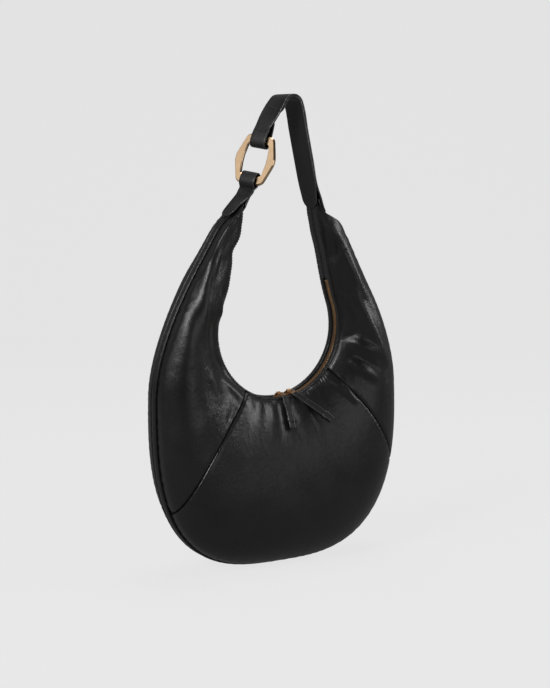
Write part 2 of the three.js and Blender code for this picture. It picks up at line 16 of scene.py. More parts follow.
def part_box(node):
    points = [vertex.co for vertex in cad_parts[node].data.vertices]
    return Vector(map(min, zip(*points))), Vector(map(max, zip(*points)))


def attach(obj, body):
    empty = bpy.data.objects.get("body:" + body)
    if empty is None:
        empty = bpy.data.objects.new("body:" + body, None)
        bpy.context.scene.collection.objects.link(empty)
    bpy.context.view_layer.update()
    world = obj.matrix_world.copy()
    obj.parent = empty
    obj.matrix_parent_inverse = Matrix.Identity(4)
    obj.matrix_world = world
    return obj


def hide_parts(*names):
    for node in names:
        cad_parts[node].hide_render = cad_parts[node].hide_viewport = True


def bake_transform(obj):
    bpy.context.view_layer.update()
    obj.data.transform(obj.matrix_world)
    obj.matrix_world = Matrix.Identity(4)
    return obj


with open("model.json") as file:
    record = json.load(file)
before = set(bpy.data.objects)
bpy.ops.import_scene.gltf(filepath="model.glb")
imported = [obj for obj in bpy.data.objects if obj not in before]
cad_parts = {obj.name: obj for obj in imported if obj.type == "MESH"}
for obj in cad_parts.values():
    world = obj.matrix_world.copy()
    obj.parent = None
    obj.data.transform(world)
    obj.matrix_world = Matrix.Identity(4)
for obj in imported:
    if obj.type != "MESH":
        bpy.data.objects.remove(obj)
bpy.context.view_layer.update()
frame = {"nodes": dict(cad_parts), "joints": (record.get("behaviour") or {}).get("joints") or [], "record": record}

MM = 0.001
JOINTS = {joint["name"]: joint for joint in frame["joints"]}
COLOURS = {m["slot"]: m["base_color"] for m in frame["record"]["materials"]}

# ---------------------------------------------------------------- dimensions

LEATHER = 1.6 * MM
ZIP_CENTRE_Z = JOINTS["slide_left"]["pos_m"][2]
ZIP_RADIUS = ZIP_CENTRE_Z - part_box("front_facing")[0][2] - LEATHER
ARC_HALF_ANGLE = math.radians(110)
ZIP_TOP_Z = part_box("zip_tape_front")[1][2]
CHAIN_DEPTH = 2.25 * MM  # of the zip's mid-plane below the facings

HALF_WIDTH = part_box("gusset")[1][0]
WAIST_Z = 187 * MM
BASE_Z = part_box("gusset")[0][2]
BASE_POWER = 2.9
SHOULDER_Z = 254 * MM
TIP = {-1: np.array([-45, 392]) * MM, 1: np.array([46, 396]) * MM}
TIP_LEAN = math.radians(24)
TIP_THICKNESS = 11 * MM
OUTER_TIP_LEAN = math.radians(37)
TIP_REACH = {"outer": 71 * MM, "inner": 35 * MM}
NECK_REACH = 35 * MM
TIP_PINCH = 3.4 * MM  # how much each edge of a horn is pressed in where the strap clasps it

BELLY_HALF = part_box("back_centre_panel")[1][1]
TIP_HALF = 14.5 * MM
DEPTH_POWER = 1.35
PUFF_POWER = 0.58
SAG_POWER = 1.4

GUSSET_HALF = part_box("gusset")[1][1]
PIPING_RADIUS = 1.3 * MM
PIPING_PROUD = 0.7 * MM  # above the outer strip
PANEL_OUTER_Y = GUSSET_HALF + 2 * PIPING_RADIUS + 0.2 * MM
FACING_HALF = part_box("back_facing")[1][1]
PANEL_INNER_Y = FACING_HALF + 0.25 * MM
SLOT_HALF = 5 * MM
SEAMS = {-1: (0.172, 0.314), 1: (0.262, 0.362)}  # shares at the inner and the outer edge
SEAM_BOW = 2.4

LINK_CENTRE = np.array([-24, 0, 438]) * MM
LINK_TILT = math.radians(18)
LINK_TWIST = math.radians(28)
LINK_HALF_LENGTH = 27 * MM
LINK_HALF_WIDTH = 24.5 * MM
LINK_BAR_SHARE = 0.66
LINK_SIDE_SHARE = 0.14
LINK_BAND = 10 * MM
LINK_THICKNESS = 4.4 * MM
LINK_BEVEL = 1.3 * MM
LINK_CORNER = 0.24  # share of each side that a rounded corner takes
BAR_Z = LINK_HALF_LENGTH - LINK_BAND / 2

STRAP_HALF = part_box("strap_outer")[1][1]
STRAP_TOP = np.array([13, 0, 495]) * MM
STRAP_TOP_RADIUS = 10 * MM
STRAP_START = 15 * MM
LOOP_HALF = 9.5 * MM
STRAP_OUTER = 1.9 * MM  # leather thicknesses
STRAP_LINING = 1.6 * MM
LOOP_TAB = 1.8 * MM
STITCH_RISE = 0.15 * MM  # of the strap's threads above the leather


def unit(v):
    return v / np.maximum(np.linalg.norm(v, axis=-1, keepdims=True), 1e-12)


def lerp(a, b, s):
    return a + (b - a) * s


def smoothstep(x, low, high):
    s = np.clip((x - low) / (high - low), 0, 1)
    return s * s * (3 - 2 * s)


# ---------------------------------------------------------------- body outline


def bezier(points, count):
    s = np.linspace(0, 1, count)[:, None]
    a, b, c, d = (np.asarray(p) for p in points)
    return a * (1 - s) ** 3 + 3 * b * s * (1 - s) ** 2 + 3 * c * s**2 * (1 - s) + d * s**3


def length_curve(points):
    """A curve in XZ that is read by the share of its length."""
    steps = np.linalg.norm(np.diff(points, axis=0), axis=1)
    shares = np.concatenate([[0], np.cumsum(steps)]) / steps.sum()
    return lambda share: np.stack([np.interp(share, shares, points[:, k]) for k in (0, 1)], axis=-1)


def horn_edges(sign):
    """The outer and the inner edge of one horn, from the middle of the bag to the tip."""
    across = np.array([sign * math.cos(TIP_LEAN), math.sin(TIP_LEAN)])
    up = np.array([-sign * math.sin(TIP_LEAN), math.cos(TIP_LEAN)])
    outer_tip = TIP[sign] + across * TIP_THICKNESS / 2
    inner_tip = TIP[sign] - across * TIP_THICKNESS / 2
    a = np.linspace(0, math.pi / 2, 240)
    base = np.stack([
        sign * HALF_WIDTH * np.sin(a) ** (2 / BASE_POWER),
        lerp(WAIST_Z, BASE_Z, np.maximum(np.cos(a), 0) ** (2 / BASE_POWER)),
    ], axis=1)
    outer_end = np.array([-sign * math.sin(OUTER_TIP_LEAN), math.cos(OUTER_TIP_LEAN)])
    outer_end *= TIP_REACH["outer"]
    shoulder = bezier([base[-1], [sign * HALF_WIDTH, SHOULDER_Z], outer_tip - outer_end, outer_tip], 200)
    angle = np.linspace(0, ARC_HALF_ANGLE, 200)
    arc = np.stack([
        sign * ZIP_RADIUS * np.sin(angle),
        ZIP_CENTRE_Z - ZIP_RADIUS * np.cos(angle),
    ], axis=1)
    leave = np.array([sign * math.cos(ARC_HALF_ANGLE), math.sin(ARC_HALF_ANGLE)])
    inner_end = up * TIP_REACH["inner"]
    neck = bezier([arc[-1], arc[-1] + leave * NECK_REACH, inner_tip - inner_end, inner_tip], 160)
    return {
        "outer": length_curve(np.concatenate([base, shoulder[1:]])),
        "inner": length_curve(np.concatenate([arc, neck[1:]])),
    }


HORNS = {sign: horn_edges(sign) for sign in (-1, 1)}


# Bumps where the leather slouches, as a place t, a half width in t and a height.
EDGE_BUMPS = {
    "outer": (
        (0.9, 0.045, 2.8 * MM), (0.925, 0.016, 2.4 * MM), (0.968, 0.021, -6.0 * MM),
        (0.78, 0.05, -1.2 * MM), (-0.93, 0.04, 1.2 * MM),
    ),
    "inner": (
        (-0.8, 0.035, -2.6 * MM), (-0.88, 0.04, 2.2 * MM), (-0.66, 0.05, 1.2 * MM),
        (0.86, 0.05, 1.2 * MM),
    ),
}


def edge(which, t):
    """An edge of the body in XZ, with its slouch and with the tips pressed flat for the strap."""
    t = np.asarray(t, float)
    left, right = (HORNS[sign][which](np.abs(t)) for sign in (-1, 1))
    at = np.where((t < 0)[..., None], left, right)
    sign = np.where(t < 0, -1.0, 1.0)
    away = 1.0 if which == "outer" else -1.0
    out = np.stack([sign * math.cos(TIP_LEAN), np.full_like(t, math.sin(TIP_LEAN))], axis=-1) * away
    height = -TIP_PINCH * smoothstep(np.abs(t), 0.93, 1.0)
    for centre, width, size in EDGE_BUMPS[which]:
        height = height + size * np.exp(-(((t - centre) / width) ** 2))
    return at + out * height[..., None]


def half_depth(t, v):
    fullest = lerp(BELLY_HALF, TIP_HALF, np.abs(t) ** DEPTH_POWER)
    rim = lerp(PANEL_INNER_Y, PANEL_OUTER_Y, v)
    sagged = v**SAG_POWER
    puff = np.maximum(4 * sagged * (1 - sagged), 0) ** PUFF_POWER
    return rim + (fullest - rim) * puff


def face_point(side, t, v):
    """Points of a face, with side -1 at the front and 1 at the back."""
    flat = lerp(edge("inner", t), edge("outer", t), v[..., None])
    return np.stack([flat[..., 0], side * half_depth(t, v), flat[..., 1]], axis=-1)


def inner_share(z):
    """The share of each horn's inner edge that lies below a height."""
    s = np.linspace(0, 1, 2000)
    return {sign: s[np.searchsorted(HORNS[sign]["inner"](s)[:, 1], z)] for sign in (-1, 1)}


ZIP_SHARE = inner_share(ZIP_TOP_Z)

# ---------------------------------------------------------------- mesh making


def new_piece(name, points, faces, material, body=None, slot=None, smooth=True):
    mesh = bpy.data.meshes.new(name)
    mesh.from_pydata(np.asarray(points).reshape(-1, 3).tolist(), [], faces)
    mesh.validate()
    mesh.update()
    obj = bpy.data.objects.new(name, mesh)
    bpy.context.scene.collection.objects.link(obj)
    for one in material if isinstance(material, (list, tuple)) else [material]:
        mesh.materials.append(one)
    mesh.polygons.foreach_set("use_smooth", [smooth] * len(mesh.polygons))
    if body:
        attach(obj, body)
    return obj


def loft_faces(count, size, closed=False):
    """Quads between section loops, with end caps unless the loft closes on itself."""
    faces = []
    for i in range(count if closed else count - 1):
        n = (i + 1) % count
        for j in range(size):
            k = (j + 1) % size
            faces.append((i * size + j, i * size + k, n * size + k, n * size + j))
    if not closed:
        faces.append(tuple(range(size - 1, -1, -1)))
        faces.append(tuple(range((count - 1) * size, count * size)))
    return faces


def oriented(points, faces):
    """The faces turned so that the solid's volume is positive."""
    p = np.asarray(points).reshape(-1, 3)
    volume = 0.0
    for face in faces:
        a = p[face[0]]
        for i in range(1, len(face) - 1):
            volume += np.dot(a, np.cross(p[face[i]], p[face[i + 1]]))
    return [tuple(reversed(f)) for f in faces] if volume < 0 else faces


def loft(name, loops, material, closed=False, **where):
    loops = np.asarray(loops)
    faces = loft_faces(loops.shape[0], loops.shape[1], closed)
    return new_piece(name, loops, oriented(loops, faces), material, **where)


def grid_shell(name, outer, inner, material, **where):
    """A closed sheet between two grids of points."""
    wide, tall = outer.shape[:2]
    layer = wide * tall
    i, j = np.meshgrid(np.arange(wide - 1), np.arange(tall - 1), indexing="ij")
    a = (i * tall + j).ravel()
    top = np.stack([a, a + tall, a + tall + 1, a + 1], axis=1)
    bottom = top[:, ::-1] + layer
    rim = []
    for s, e in ((0, 1), (tall - 1, -1)):
        line = np.arange(wide)[::e] * tall + s
        rim.append(np.stack([line[1:], line[:-1], line[:-1] + layer, line[1:] + layer], axis=1))
    for s, e in ((0, -1), ((wide - 1) * tall, 1)):
        line = (np.arange(tall) + s)[::e]
        rim.append(np.stack([line[1:], line[:-1], line[:-1] + layer, line[1:] + layer], axis=1))
    faces = np.concatenate([top, bottom, *rim]).tolist()
    points = np.concatenate([outer.reshape(-1, 3), inner.reshape(-1, 3)])
    return new_piece(name, points, oriented(points, faces), material, **where)


def grid_normals(points):
    along = np.gradient(points, axis=0)
    over = np.gradient(points, axis=1)
    return unit(np.cross(along, over))


# ---------------------------------------------------------------- materials


class Nodes:
    """A material's node tree, with short calls for what is added to it."""

    def __init__(self, name):
        self.material = bpy.data.materials.new(name)
        self.material.use_nodes = True
        self.tree = self.material.node_tree
        self.shader = self.tree.nodes["Principled BSDF"]
        self.place = self.add("ShaderNodeTexCoord").outputs["Object"]

    def add(self, kind, inputs=None, **settings):
        node = self.tree.nodes.new(kind)
        for key, value in settings.items():
            setattr(node, key, value)
        for key, value in (inputs or {}).items():
            self.put(node.inputs[key], value)
        return node

    def put(self, socket, value):
        if isinstance(value, bpy.types.NodeSocket):
            self.tree.links.new(value, socket)
        else:
            socket.default_value = value

    def set(self, **inputs):
        for key, value in inputs.items():
            self.put(self.shader.inputs[key.replace("_", " ")], value)

    def noise(self, size, detail=3.0, roughness=0.5, vector=None):
        return self.add("ShaderNodeTexNoise", {
            "Vector": vector or self.place, "Scale": 1 / size, "Detail": detail, "Roughness": roughness,
        }).outputs["Fac"]

    def ramp(self, value, low, high, out_low, out_high):
        return self.add("ShaderNodeMapRange", {
            "Value": value, "From Min": low, "From Max": high, "To Min": out_low, "To Max": out_high,
        }).outputs["Result"]

    def bump(self, height, distance, strength=1.0, normal=None):
        inputs = {"Height": height, "Distance": distance, "Strength": strength}
        if normal:
            inputs["Normal"] = normal
        return self.add("ShaderNodeBump", inputs).outputs["Normal"]

    def mix_colour(self, share, low, high):
        node = self.add("ShaderNodeMix", data_type="RGBA")
        self.put(node.inputs["Factor"], share)
        self.put(node.inputs[6], low)
        self.put(node.inputs[7], high)
        return node.outputs[2]


PEBBLE = 0.85 * MM  # size of the leather's grain
BRUSH_STRETCH = 9  # how much longer than wide a hairline scratch is


def opaque(colour, gain=1.0):
    return (*(min(c * gain, 1) for c in colour[:3]), 1)


def leather_material(name, colour, roughness=0.36, crease=1.0, coat=0.3):
    """Polished nappa: pebbled pores, faint creases between them and an uneven polish."""
    m = Nodes(name)
    warped = m.add("ShaderNodeVectorMath", {
        0: m.place,
        1: m.add("ShaderNodeVectorMath", {
            0: m.add("ShaderNodeTexNoise", {"Vector": m.place, "Scale": 1 / (2.5 * MM)}).outputs["Color"],
            "Scale": 0.5 * MM,
        }, operation="SCALE").outputs[0],
    }, operation="ADD").outputs[0]
    cells = m.add("ShaderNodeTexVoronoi", {
        "Vector": warped, "Scale": 1 / PEBBLE, "Randomness": 1.0,
    }, feature="DISTANCE_TO_EDGE").outputs["Distance"]
    pebble = m.ramp(cells, 0.0, 0.28, 0.0, 1.0)
    wave = m.noise(11 * MM, detail=2.0, roughness=0.45)
    handling = m.noise(38 * MM, detail=4.0, roughness=0.55)
    fine = m.noise(0.35 * MM, detail=2.0)
    crinkle = m.noise(4.5 * MM, detail=3.0, roughness=0.5)
    normal = m.bump(wave, 0.7 * MM * crease, 0.55)
    normal = m.bump(crinkle, 0.42 * MM * crease, 0.6, normal)
    normal = m.bump(pebble, 0.05 * MM, 0.55, normal)
    normal = m.bump(fine, 0.012 * MM, 0.5, normal)
    tone = m.mix_colour(m.ramp(handling, 0.3, 0.7, 0.0, 1.0), opaque(colour, 0.6), opaque(colour, 1.25))
    polish = m.ramp(handling, 0.25, 0.75, roughness - 0.05, roughness + 0.07)
    m.set(Base_Color=tone, Roughness=polish, Normal=normal, Specular_IOR_Level=0.5)
    m.set(Coat_Weight=coat, Coat_Roughness=0.2, Coat_Normal=normal)
    return m.material


def edge_paint_material(name, colour):
    """The smooth painted edge of a cut strap."""
    m = Nodes(name)
    ripple = m.noise(1.2 * MM, detail=2.0)
    m.set(Base_Color=opaque(colour, 1.8), Roughness=m.ramp(ripple, 0.3, 0.7, 0.16, 0.3))
    m.set(Normal=m.bump(ripple, 0.06 * MM, 0.6), Coat_Weight=0.3, Coat_Roughness=0.12)
    return m.material


def metal_material(name, colour, roughness):
    """Plated brass: mirror polish with hairline scratches and a faint unevenness."""
    m = Nodes(name)
    stretched = m.add("ShaderNodeMapping", {
        "Vector": m.place, "Scale": (1, 1, BRUSH_STRETCH),
    }).outputs["Vector"]
    hair = m.noise(0.5 * MM, detail=2.0, vector=stretched)
    cloud = m.noise(9 * MM, detail=2.0)
    tone = m.mix_colour(m.ramp(cloud, 0.35, 0.65, 0, 1), opaque(colour, 0.94), opaque(colour, 1.05))
    m.set(Base_Color=tone, Metallic=1.0)
    m.set(Roughness=m.ramp(hair, 0.3, 0.7, roughness * 0.8, roughness * 1.25))
    m.set(Normal=m.bump(hair, 0.01 * MM, 0.3))
    return m.material


def woven_material(name, colour, pitch):
    """A plain weave whose threads cross at right angles."""
    m = Nodes(name)
    rows = []
    for direction in ("X", "Z"):
        rows.append(m.add("ShaderNodeTexWave", {
            "Vector": m.place, "Scale": 1 / pitch / 6.3, "Distortion": 0.6, "Detail": 1.0,
        }, bands_direction=direction, wave_profile="SIN").outputs["Fac"])
    weave = m.add("ShaderNodeMath", {0: rows[0], 1: rows[1]}, operation="MULTIPLY").outputs[0]
    tone = m.mix_colour(weave, opaque(colour, 0.7), opaque(colour, 1.4))
    m.set(Base_Color=tone, Roughness=0.85, Normal=m.bump(weave, 0.12 * MM, 0.8), Sheen_Weight=0.2)
    return m.material


def thread_material(name, colour):
    """Waxed thread, with its twist as a fine bump."""
    m = Nodes(name)
    twist = m.noise(0.3 * MM, detail=1.0)
    m.set(Base_Color=opaque(colour), Roughness=0.5, Normal=m.bump(twist, 0.05 * MM, 0.7))
    return m.material


BODY_LEATHER = leather_material("body_leather", COLOURS["body_leather"])
TRIM_LEATHER = leather_material("trim_leather", COLOURS["trim_leather"], roughness=0.34, crease=0.4)
STRAP_LEATHER = leather_material(
    "strap_leather", COLOURS["strap_leather"], roughness=0.5, crease=0.35, coat=0.08,
)
EDGE_PAINT = edge_paint_material("edge_paint", (0.04, 0.04, 0.042))
LINK_METAL = metal_material("link_metal", COLOURS["link_metal"], 0.18)
ZIP_METAL = metal_material("zip_metal", COLOURS["zip_metal"], 0.36)
ZIP_TAPE = woven_material("zip_tape", COLOURS["zip_tape"], 0.5 * MM)
LINING = woven_material("lining", COLOURS["lining"], 0.4 * MM)
THREAD = thread_material("thread", (0.07, 0.07, 0.072))

# ---------------------------------------------------------------- leather faces

PANELS = ("left", "centre", "right")
PANEL_COLUMNS = 112
FACE_ROWS = 84
SEAM_DIP = 1.1 * MM
SEAM_ROUND = 2.6 * MM


def seam_share(sign, v):
    inner, outer = SEAMS[sign]
    return lerp(inner, outer, 1 - (1 - v) ** SEAM_BOW)


def column_place(p, v):
    """t for a column p, which runs from 0 to 3 with a seam at each whole number."""
    left, right = seam_share(-1, v), seam_share(1, v)
    before = lerp(-1, -left, np.clip(p, 0, 1))
    return before + (left + right) * np.clip(p - 1, 0, 1) + (1 - right) * np.clip(p - 2, 0, 1)


def seam_distance(t, v):
    """The distance from the nearer panel seam, about in metres."""
    return np.minimum(np.abs(t + seam_share(-1, v)), np.abs(t - seam_share(1, v))) * 460 * MM


def row_places(count):
    """v for each row, closer together at both edges."""
    s = np.linspace(0, 1, count)
    return 0.45 * s + 0.55 * (1 - np.cos(math.pi * s)) / 2


def face_grid(columns, rows):
    p, v = np.meshgrid(columns, rows, indexing="ij")
    return p, v, column_place(p, v)


# Folds pressed into the leather, as X, Z of both ends, width, height, in millimetres.
FRONT_FOLDS = (
    (-56, 384, -80, 350, 4.5, 3.2),
    (-80, 350, -93, 316, 6, 3.4),
    (-93, 316, -101, 262, 7, 2.4),
    (-66, 360, -80, 322, 5.5, -2.8),
    (-100, 330, -114, 286, 6, -1.6),
    (-112, 300, -122, 236, 11, 2.6),
    (-78, 300, -72, 266, 3.2, 1.6),
    (-74, 262, -62, 226, 3.6, 2.0),
    (-88, 276, -84, 236, 6, -1.8),
    (-60, 214, -48, 198, 6, 2.4),
    (56, 372, 72, 344, 6, 4.2),
    (64, 352, 62, 322, 4, -3.0),
    (74, 340, 96, 292, 6, 3.2),
    (66, 318, 88, 268, 6, -2.4),
    (82, 302, 124, 216, 5.5, 3.4),
    (84, 240, 112, 226, 5, 3.6),
    (86, 226, 110, 210, 4, -2.4),
    (84, 216, 106, 200, 4, 3.2),
    (70, 200, 82, 176, 3.0, 3.0),
    (82, 176, 62, 196, 3.0, 2.4),
    (92, 252, 78, 242, 5, -2.2),
    (-92, 190, -118, 150, 9, 1.2),
    (-82, 232, -60, 206, 4.5, -2.0),
    (-72, 208, -50, 186, 4, 2.0),
    (-62, 184, -78, 160, 5, -1.6),
    (-96, 222, -84, 196, 6, 1.6),
)
BACK_FOLDS = (
    (-60, 360, -90, 310, 8, 2.2),
    (-92, 318, -112, 240, 12, 2.0),
    (-72, 330, -84, 280, 7, -1.8),
    (60, 362, 88, 312, 8, 2.2),
    (92, 314, 116, 236, 12, 2.2),
    (72, 330, 82, 280, 7, -1.8),
    (-78, 216, -100, 190, 7, 1.8),
    (80, 214, 104, 188, 7, 1.8),
)


def fold_height(points, folds):
    """The height of every fold at each point: a soft ridge that fades towards its ends."""
    flat = points[..., (0, 2)] / MM
    total = np.zeros(points.shape[:2])
    for x0, z0, x1, z1, width, height in folds:
        start, run = np.array([x0, z0]), np.array([x1 - x0, z1 - z0])
        share = ((flat - start) @ run) / (run @ run)
        nearest = start + np.clip(share, 0, 1)[..., None] * run
        away = np.linalg.norm(flat - nearest, axis=-1) / width
        fade = 0.35 + 0.65 * np.sin(math.pi * np.clip(share, 0, 1))
        total += height * MM * fade * np.exp(-(away**2))
    return total


def gather_height(side, v, points):
    """Pleats where the panel is gathered on to the zip, deepest in the middle of the bag."""
    angle = np.arctan2(points[..., 0], ZIP_CENTRE_Z - points[..., 2])
    reach = np.exp(-((v / 0.17) ** 1.4))
    middle = np.exp(-((angle / math.radians(46)) ** 4))
    rng = np.random.default_rng(11 + side)
    total = np.zeros_like(v)
    for centre in np.linspace(-48, 48, 13):
        place = math.radians(centre + rng.uniform(-7, 7))
        width = math.radians(rng.uniform(1.6, 5.4)) * (1 + 1.8 * v)
        lean = math.radians(rng.uniform(-16, 16)) * v
        start, length = rng.uniform(0, 0.09), rng.uniform(0.07, 0.24)
        total += rng.uniform(0.35, 1.45) * np.exp(-(((angle - place - lean) / width) ** 2)) \
            * np.exp(-(((v - start) / length) ** 2))
    return (total - 0.9 * reach) * 1.0 * MM * middle * smoothstep(v, 0, 0.012)


def pucker_height(distance, along, seed, pitch=7 * MM, depth=0.4 * MM, reach=9 * MM):
    """Small ripples beside a sewn edge."""
    rng = np.random.default_rng(seed)
    wave = sum(
        np.sin(along / pitch * 2 * math.pi * rng.uniform(0.6, 1.5) + rng.uniform(0, 6.3)) for _ in range(4)
    ) / 4
    return depth * wave * np.exp(-((distance / reach) ** 2))


def edge_dip(distance):
    return -SEAM_DIP * np.exp(-((distance / SEAM_ROUND) ** 2))


def relief(side, v, t, points):
    """How far each point of a face stands off the smooth shape."""
    width = np.linalg.norm(edge("outer", t) - edge("inner", t), axis=-1)
    from_zip = v * width
    from_outer = (1 - v) * width
    along = t * 460 * MM
    seam = seam_distance(t, v)
    total = fold_height(points, FRONT_FOLDS if side < 0 else BACK_FOLDS)
    total *= smoothstep(from_zip, 0, 6 * MM) * smoothstep(from_outer, 0, 8 * MM)
    total += gather_height(side, v, points)
    total += pucker_height(from_outer, along, 3 + side, pitch=10 * MM)
    total += pucker_height(from_zip, along, 5 + side, pitch=8 * MM, depth=0.5 * MM)
    total += pucker_height(seam, from_zip, 9 + side, pitch=9 * MM, depth=0.35 * MM, reach=7 * MM)
    for distance in (from_zip, from_outer, seam):
        total += edge_dip(distance)
    return total


SIM_COLUMNS = 181
SIM_ROWS = 43
SIM_FRAMES = 20
SIM_CAP = 6 * MM


def relaxed_face(side):
    """How far cloth simulation moves a face that is sewn down all round and filled from inside."""
    columns = np.linspace(0, 3, SIM_COLUMNS)
    rows = row_places(SIM_ROWS)
    p, v, t = face_grid(columns, rows)
    rest = face_point(side, t, v)
    i, j = np.meshgrid(np.arange(SIM_COLUMNS - 1), np.arange(SIM_ROWS - 1), indexing="ij")
    a = (i * SIM_ROWS + j).ravel()
    quads = np.stack([a, a + SIM_ROWS, a + SIM_ROWS + 1, a + 1], axis=1)
    outward = grid_normals(rest)[..., 1].mean() * side > 0
    if not outward:
        quads = quads[:, ::-1]
    sheet = new_piece("sheet", rest, quads.tolist(), BODY_LEATHER)
    sewn = (v < 1e-6) | (v > 1 - 1e-6) | (p < 1e-6) | (p > 3 - 1e-6)
    seam = seam_distance(t, v) < 2 * MM
    held = sheet.vertex_groups.new(name="held")
    held.add(np.flatnonzero(sewn.ravel()).tolist(), 1.0, "REPLACE")
    held.add(np.flatnonzero((seam & ~sewn).ravel()).tolist(), 0.35, "REPLACE")
    full = sheet.vertex_groups.new(name="full")
    fullness = np.exp(-((v / 0.35) ** 2)) * np.exp(-((t / 0.42) ** 4)) + 0.35
    for index, weight in enumerate(np.clip(fullness, 0, 1).ravel()):
        full.add([index], float(weight), "REPLACE")
    cloth = sheet.modifiers.new("cloth", "CLOTH")
    settings = cloth.settings
    settings.quality = 7
    settings.mass = 0.4
    settings.tension_stiffness = 30
    settings.compression_stiffness = 30
    settings.shear_stiffness = 12
    settings.bending_stiffness = 3.0
    settings.vertex_group_mass = "held"
    settings.vertex_group_shrink = "full"
    settings.shrink_min = 0.0
    settings.shrink_max = -0.06
    settings.use_pressure = True
    settings.uniform_pressure_force = 3.0
    settings.effector_weights.gravity = 0
    cloth.point_cache.frame_end = SIM_FRAMES
    for number in range(1, SIM_FRAMES + 1):
        bpy.context.scene.frame_set(number)
    moved = sheet.evaluated_get(bpy.context.evaluated_depsgraph_get()).to_mesh()
    places = np.empty(len(moved.vertices) * 3)
    moved.vertices.foreach_get("co", places)
    shift = places.reshape(rest.shape) - rest
    length = np.linalg.norm(shift, axis=-1, keepdims=True)
    shift *= np.minimum(1, SIM_CAP / np.maximum(length, 1e-9))
    bpy.data.objects.remove(sheet, do_unlink=True)
    bpy.context.scene.frame_set(1)
    return columns, rows, shift


def resampled(columns, rows, field, p, v):
    """A grid's field at the columns p and rows v, which are both sorted."""
    wide = np.stack([
        [np.interp(p, columns, field[:, j, k]) for j in range(field.shape[1])] for k in range(3)
    ])
    fine = np.stack([
        [np.interp(v, rows, wide[k, :, i]) for i in range(len(p))] for k in range(3)
    ])
    return np.moveaxis(fine, 0, -1)


def leather_face(side, face):
    """The three sewn panels of one face."""
    columns, rows, shift = relaxed_face(side)
    v_rows = row_places(FACE_ROWS)
    for index, panel in enumerate(PANELS):
        inset = 0.0016
        p_columns = np.linspace(index + (inset if index else 0), index + 1 - (inset if index < 2 else 0),
                                PANEL_COLUMNS)
        p, v, t = face_grid(p_columns, v_rows)
        base = face_point(side, t, v) + resampled(columns, rows, shift, p_columns, v_rows)
        normals = grid_normals(base)
        if (normals[..., 1] * side).mean() < 0:
            normals = -normals
        outer = base + normals * relief(side, v, t, base)[..., None]
        inner = outer - normals * LEATHER
        piece = grid_shell(f"{face}_{panel}_leather", outer, inner, BODY_LEATHER,
                           body="body", slot="body_leather")
        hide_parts(f"{face}_{panel}_panel")


# ---------------------------------------------------------------- edge strips


def edge_frames(which, t):
    """Places along an edge, with unit vectors along it and into the leather."""
    step = 1e-3
    at = edge(which, t)
    along = unit(edge(which, np.minimum(t + step, 1)) - edge(which, np.maximum(t - step, -1)))
    into = np.stack([-along[..., 1], along[..., 0]], axis=-1)
    return at, along, into if which == "outer" else -into


def strip_loops(which, t, section):
    """Section loops along an edge. The section gives (Y, depth) pairs for each place."""
    at, _, into = edge_frames(which, t)
    loops = []
    for i in range(len(t)):
        y, depth = section(i)
        flat = at[i] + into[i] * depth[:, None]
        loops.append(np.stack([flat[:, 0], y, flat[:, 1]], axis=-1))
    return np.array(loops)


def strip_section(y0, y1, top, thickness, crown=0.0, columns=9):
    """A thin closed section from y0 to y1, crowned outwards, with turned-down edges."""
    s = np.linspace(0, 1, columns)
    y = lerp(y0, y1, s)
    rim = 0.35 * MM * (np.exp(-(s / 0.08) ** 2) + np.exp(-((1 - s) / 0.08) ** 2))
    outer = top - crown * np.sin(math.pi * s) + rim
    return np.concatenate([y, y[::-1]]), np.concatenate([outer, (outer + thickness)[::-1]])


def edge_piece(name, node, which, t, section, material, slot):
    """A strip along an edge of the body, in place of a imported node."""
    piece = loft(name, strip_loops(which, t, section), material, body="body", slot=slot)
    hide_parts(node)


def gusset_strip():
    t = np.linspace(-1, 1, 420)
    ripple = pucker_height(np.zeros_like(t), t * 560 * MM, 21, pitch=14 * MM, depth=0.25 * MM)

    def section(i):
        return strip_section(-GUSSET_HALF, GUSSET_HALF, ripple[i], LEATHER, crown=0.5 * MM)

    edge_piece("gusset_leather", "gusset", "outer", t, section, TRIM_LEATHER, "trim_leather")


def piping_cord(face, side):
    t = np.linspace(-0.995, 0.995, 460)
    corners = np.linspace(0, 2 * math.pi, 12, endpoint=False)
    centre = side * (GUSSET_HALF + 0.1 * MM + PIPING_RADIUS)
    ripple = pucker_height(np.zeros_like(t), t * 560 * MM, 31 + side, pitch=9 * MM, depth=0.12 * MM)

    def section(i):
        radius = PIPING_RADIUS + ripple[i]
        depth = PIPING_RADIUS - PIPING_PROUD - radius * np.cos(corners)
        return centre + PIPING_RADIUS * np.sin(corners), depth

    edge_piece(f"{face}_piping_cord", f"{face}_piping", "outer", t, section,
               TRIM_LEATHER, "trim_leather")


def slot_edge(t):
    """The facing's edge beside the zip, which closes to a seam above each end."""
    end = np.where(t < 0, ZIP_SHARE[-1], ZIP_SHARE[1])
    return lerp(0.1 * MM, SLOT_HALF, 1 - smoothstep(np.abs(t), end, end + 0.012))


def facing_strip(face, side):
    t = np.linspace(-1, 1, 420)
    slot = slot_edge(t)
    ripple = pucker_height(np.zeros_like(t), t * 400 * MM, 41 + side, pitch=12 * MM, depth=0.3 * MM)

    def section(i):
        return strip_section(side * slot[i], side * FACING_HALF, ripple[i], LEATHER * 0.85,
                             crown=0.45 * MM, columns=11)

    edge_piece(f"{face}_facing_leather", f"{face}_facing", "inner", t, section,
               TRIM_LEATHER, "trim_leather")


# ---------------------------------------------------------------- stitches

STITCH_PITCH = 3.0 * MM
STITCH_LENGTH = 2.3 * MM
THREAD_RADIUS = 0.32 * MM


